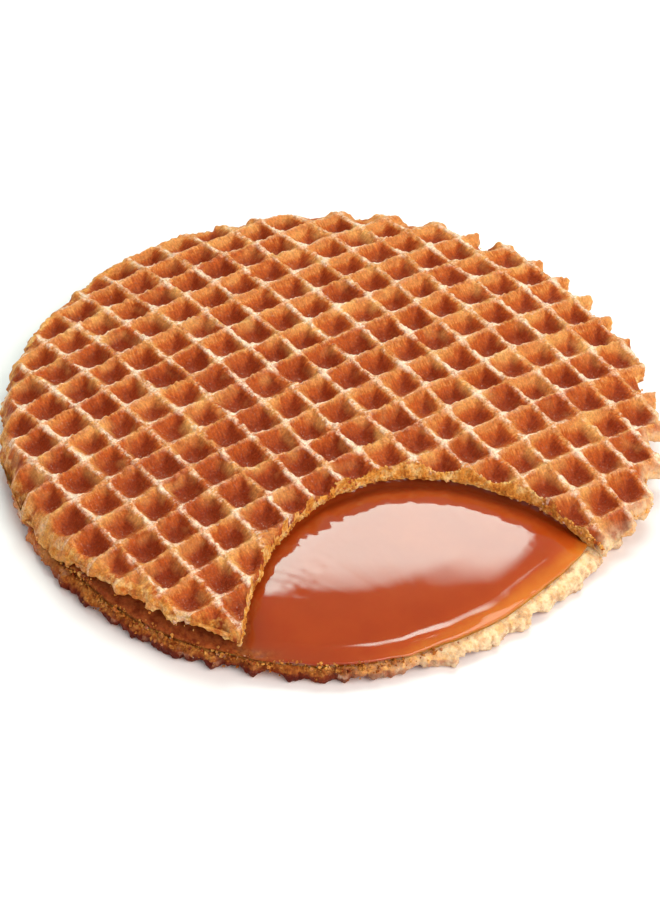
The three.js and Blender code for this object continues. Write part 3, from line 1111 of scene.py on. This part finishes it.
def makeLowerWafer():
    part = lowerWafer
    loop = roundLoop(part)
    points = gridPoints(part)
    points = points[fromRim(part, *points.T) > 0.2]
    angle = roundAngles(part["radius"], part["ringStep"])
    rings = [ringOf(part, angle, rimRadius(part, angle) - inset) for inset in part["rings"]]
    hidden = slantedPoints(44.2, 1.8, 0.01, 0.013)
    hidden = hidden[fromRim(part, *hidden.T) > 2.6]

    def topHeight(x, y):
        rough = roughOf(x, y, 91, (1.1, 0.12), (0.45, 0.1))
        edge = np.clip(1 - fromRim(part, x, y) / 0.8, 0, 1)
        return part["thickness"] + rough * (1 - 0.2 * edge) - 0.5 * edge ** 2

    def underHeight(x, y):
        depth = pocketDepth(part, *toGrid(part, x, y))[0]
        return np.maximum(depth, 0.0) * 0.98 + 0.02

    def bulge(share, run, height):
        return 0.2 * math.sin(math.pi * share) + roughOf(run, height, 93, (0.7, 0.14), (0.33, 0.13))

    top = np.concatenate(rings + [hidden])
    verts, tris = closedShell(loop, top, topHeight, points, underHeight, 7, bulge)
    x, y, z = verts.T
    u, v = toGrid(part, x, y)
    down, tone = pocketDepth(part, u, v)
    angle = angleAt(part, x, y)
    skirt = facing(angle, part["skirtSide"])
    topVerts = len(loop) + len(top)
    wallStart = topVerts + len(loop) + len(points)
    inPockets = slice(topVerts + len(loop), wallStart)
    crumb = 0.5 * fade(fromRim(part, x, y), 0.0, 0.8)
    crumb[:topVerts] = 0.65
    crumb[wallStart:] = 0.15 + 0.6 * ease(z, 0.9, 1.8)[wallStart:]
    down[:topVerts] = 0.35
    # painted shade: the wall darkens towards the bottom, less under the drooping rim
    down[wallStart:] = ((0.5 + 0.9 * fade(z, 0.2, 1.6)) * (1 - 0.8 * skirt))[wallStart:]
    smooth = crumb[tris].mean(axis=1) <= 0.6
    crumb = crumb * (1 - 0.7 * skirt)
    # painted light on the side that faces the right fill lamp
    paleAndPaintedLight = 0.9 * facing(angle, part["paleSide"])
    paleAndPaintedLight[inPockets] = 0
    # painted shade: darkest at the bottom, in small pits and away from the lit side
    pits = ease(hills(x + z, y - z, 1.3, 95), -0.1, 0.5)
    brownedAndShaded = 0.9 * ease(z - 1.5, 0.6, -0.6) + 0.45 + 0.35 * pits
    brownedAndShaded = brownedAndShaded * awayFrom(angle, part["litSide"]) * (1 - 0.9 * skirt)
    brownedAndShaded = brownedAndShaded * (0.5 + 0.5 * awayFrom(angle, part["backSide"]))
    brownedAndShaded[inPockets] = 0.25
    piece = makePiece("lowerWafer", verts, tris, smooth, {
        "gridPlace": np.stack([u, v, down], axis=1), "crumb": crumb, "tone": tone,
        "brownedAndShaded": brownedAndShaded, "paleAndPaintedLight": paleAndPaintedLight
    }, waferFinish("bakedWaferUnder", underColours, part))
    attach(piece, "root")
    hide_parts("lower_wafer")
    print("lower wafer:", len(tris), "faces")


makeLowerWafer()


crumbs = {
    "biteCount": 600,
    "rimCount": 500,
    "lowerCount": 700,
    "ledgeCount": 3300,
    "ledgeSize": 0.8,
    "smallest": 0.09,  # radius
    "largest": 0.30,
    "knobs": 0.3,
    "jagged": 0.13,
    "paleDirection": -35,  # few lie on the pale right side of the lower wafer
    "droopDirection": 180,  # none where the upper wafer droops
    "tipDirection": -31,  # and none on its right tip
}


def crumbHeap(name, place, sizes, brownedAndShaded, kept, seed, deepest, material):
    # every crumb is a squashed, knobbly lump
    spots, sizes, brownedAndShaded = np.stack(place, axis=1)[kept], sizes[kept], brownedAndShaded[kept]
    shape = bmesh.new()
    bmesh.ops.create_icosphere(shape, subdivisions=2, radius=1)
    ball = np.array([v.co[:] for v in shape.verts])
    sides = np.array([[v.index for v in f.verts] for f in shape.faces])
    shape.free()
    rng = np.random.default_rng(seed)
    count = len(spots)
    turn = np.linalg.qr(rng.normal(size=(count, 3, 3)))[0]
    squash = rng.uniform(0.65, 1.25, (count, 1, 3))
    waves = np.sin(4 * ball @ rng.normal(size=(3, 1)) + rng.uniform(0, 6, (count, 1, 1)))
    knobs = 1 + crumbs["knobs"] * waves + rng.normal(0, crumbs["jagged"], (count, len(ball), 1))
    lumps = np.einsum("nij,nkj->nki", turn, ball[None] * knobs * squash) * sizes[:, None, None]
    verts = (lumps + spots[:, None, :]).reshape(-1, 3)
    tris = (sides[None] + np.arange(count)[:, None, None] * len(ball)).reshape(-1, 3)
    inner, deep, tone, brownedAndShaded = [np.repeat(values, len(ball)) for values in (
        np.clip(rng.normal(0.68, 0.25, count), 0, 1), rng.uniform(0.1, deepest, count),
        rng.uniform(-1, 1, count), brownedAndShaded)]
    grid = np.stack([verts[:, 0] * 1.7, verts[:, 1] * 1.7, deep], axis=1)
    piece = makePiece(name, verts, tris, np.zeros(len(tris), bool),
                      {"gridPlace": grid, "crumb": inner, "tone": tone, "brownedAndShaded": brownedAndShaded},
                      bpy.data.materials[material])
    print(name + ":", count, "crumbs")
    return piece


def crumbSizes(rng, count):
    return crumbs["smallest"] + (crumbs["largest"] - crumbs["smallest"]) * rng.uniform(0, 1, count) ** 2.5


def makeBiteCrumbs():
    rng = np.random.default_rng(401)
    count = crumbs["biteCount"]
    angle = np.radians(rng.uniform(38, 188, count))
    slopeWidth = crumbSlopeWidth(bite["middle"][0] + bite["radius"] * np.cos(angle))
    away = rng.uniform(0, 1, count) ** 1.5 * slopeWidth
    x, y = onRing(bite, angle, biteRadius(angle) + away)
    sizes = crumbSizes(rng, count)
    under = ridgeHeight(x, y) - upperWafer["thickness"]
    z = np.where(away < 0.2, under + rng.uniform(-0.25, 0.5, count), upperTop(x, y)[0] - 0.15 * sizes)
    kept = fromRim(upperWafer, x, y) > 0.1
    piece = crumbHeap("biteCrumbs", (x, y, z), sizes, 0 * x, kept, 402, 0.5, "bakedWafer")
    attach(piece, "root")


def makeLedgeCrumbs():
    # they lie on the bare ledge and hide the edge of the syrup
    rng = np.random.default_rng(431)
    count = crumbs["ledgeCount"]
    ledge = lowerWafer["thickness"]
    angle = rng.uniform(-math.pi, math.pi, count)
    heaped = ease(roughAlong(angle * caramel["radius"], 433, (2.4, 1.0)), -0.1, 0.6)  # up the syrup's side
    away = rng.uniform(-0.15, 0.75, count) - 0.55 * heaped * rng.uniform(0, 1, count)
    x, y = onRing(caramel, angle, syrupEdge(angle) + away)
    sizes = crumbs["ledgeSize"] * crumbSizes(rng, count)
    onSyrup = (syrupTop(x, y) - ledge) * rng.uniform(0.5, 1.0, count)
    z = ledge + np.where(away < 0, onSyrup, rng.uniform(-0.1, 0.3, count))
    kept = turnBetween(angle, crumbs["paleDirection"]) > rng.uniform(0.45, 1.0, count)
    kept &= turnBetween(angle, crumbs["droopDirection"]) > rng.uniform(0.3, 0.8, count)
    brownedAndShaded = rng.uniform(-0.1, 0.5, count) + 0.5 * ease(away, 0.3, 0.8)
    piece = crumbHeap("ledgeCrumbs", (x, y, z), sizes, brownedAndShaded, kept, 432, 0.7, "bakedWaferUnder")
    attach(piece, "root")


def makeRimCrumbs(name, part, count, low, high, material, seed):
    rng = np.random.default_rng(seed)
    angle = rng.uniform(-math.pi, math.pi, count)
    x, y = onRing(part, angle, rimRadius(part, angle) - 0.08 + rng.normal(0, 0.1, count))
    z = low(x, y) + (high(x, y) - low(x, y)) * rng.uniform(0, 1, count)
    sizes = crumbSizes(rng, count)
    kept = turnBetween(angle, crumbs["droopDirection"]) > rng.uniform(0.3, 0.8, count)
    brownedAndShaded = 0 * x
    if part is upperWafer:
        kept &= (fromBite(x, y) > 0) & (turnBetween(angle, crumbs["tipDirection"]) > 0.15)
    else:
        kept &= turnBetween(angle, crumbs["paleDirection"]) > rng.uniform(0.4, 1.0, count)
        brownedAndShaded = rng.uniform(0.3, 0.7, count)
    piece = crumbHeap(name, (x, y, z), sizes, brownedAndShaded, kept, seed + 1, 1.2, material)
    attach(piece, "root")


def rimTop(x, y):
    return ridgeHeight(x, y) - rimDroop(x, y)


makeBiteCrumbs()
makeLedgeCrumbs()
makeRimCrumbs("upperRimCrumbs", upperWafer, crumbs["rimCount"],
              lambda x, y: np.maximum(rimTop(x, y) - upperWafer["thickness"] - 0.1, 2.1),
              lambda x, y: rimTop(x, y) - 1.1, "bakedWafer", 411)
makeRimCrumbs("lowerRimCrumbs", lowerWafer, crumbs["lowerCount"],
              lambda x, y: 0.35 + 0 * x, lambda x, y: 1.9 + 0 * x, "bakedWaferUnder", 421)
